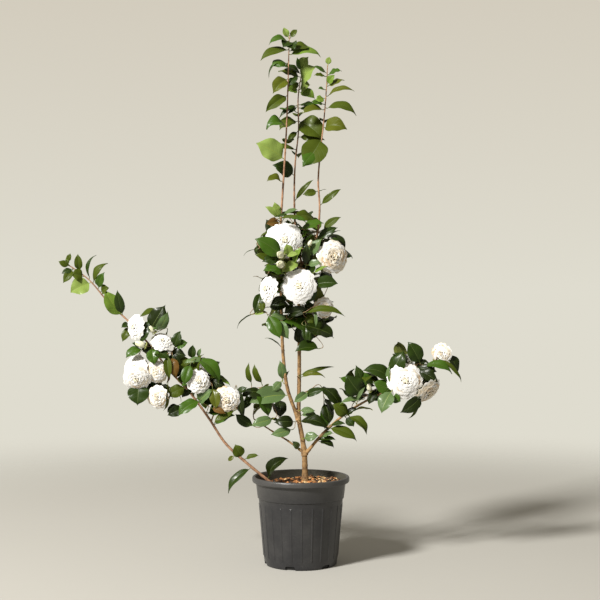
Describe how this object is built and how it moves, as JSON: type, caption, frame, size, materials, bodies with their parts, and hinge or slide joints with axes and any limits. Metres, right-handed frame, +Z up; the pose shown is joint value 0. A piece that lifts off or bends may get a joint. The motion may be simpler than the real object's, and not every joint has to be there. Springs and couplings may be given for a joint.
{
  "type": "potted camellia shrub in flower",
  "caption": "Open, untidy camellia shrub with white formal double blooms and glossy leaves, standing in a round dark nursery pot.",
  "frame": {"origin": "centre of the pot's flat underside, which stands on level ground", "axes": "+Z up, the longest way; the long flowering bough reaches towards -X and the short one towards +X; most open blooms face -Y"},
  "size_m": [0.9873, 0.2508, 1.3232],
  "materials": {
    "pot_plastic": "satin",
    "potting_bark": "matte",
    "old_bark": "matte",
    "young_bark": "satin",
    "mature_leaf": "satin",
    "young_leaf": "satin",
    "petal": "matte"
  },
  "bodies": {
    "root": {"pot": "pot_plastic", "soil": "potting_bark", "trunk": "old_bark", "leader": "old_bark", "right_stem": "old_bark", "left_stem": "old_bark", "right_bough": "old_bark", "low_left_bough": "old_bark", "left_bough": "old_bark", "left_tip_shoot": "young_bark", "whip_left": "young_bark", "whip_middle": "young_bark", "whip_right": "young_bark", "crown_upper": "mature_leaf", "crown_middle": "mature_leaf", "crown_lower": "mature_leaf", "skirt_left": "mature_leaf", "skirt_right": "mature_leaf", "right_bough_leaves": "mature_leaf", "left_bough_leaves": "mature_leaf", "left_crown_inner": "mature_leaf", "left_crown_outer": "mature_leaf", "right_crown_inner": "mature_leaf", "right_crown_outer": "mature_leaf", "top_left": "young_leaf", "top_middle": "young_leaf", "top_right": "young_leaf", "left_tip_crown": "young_leaf"}
  },
  "joints": []
}
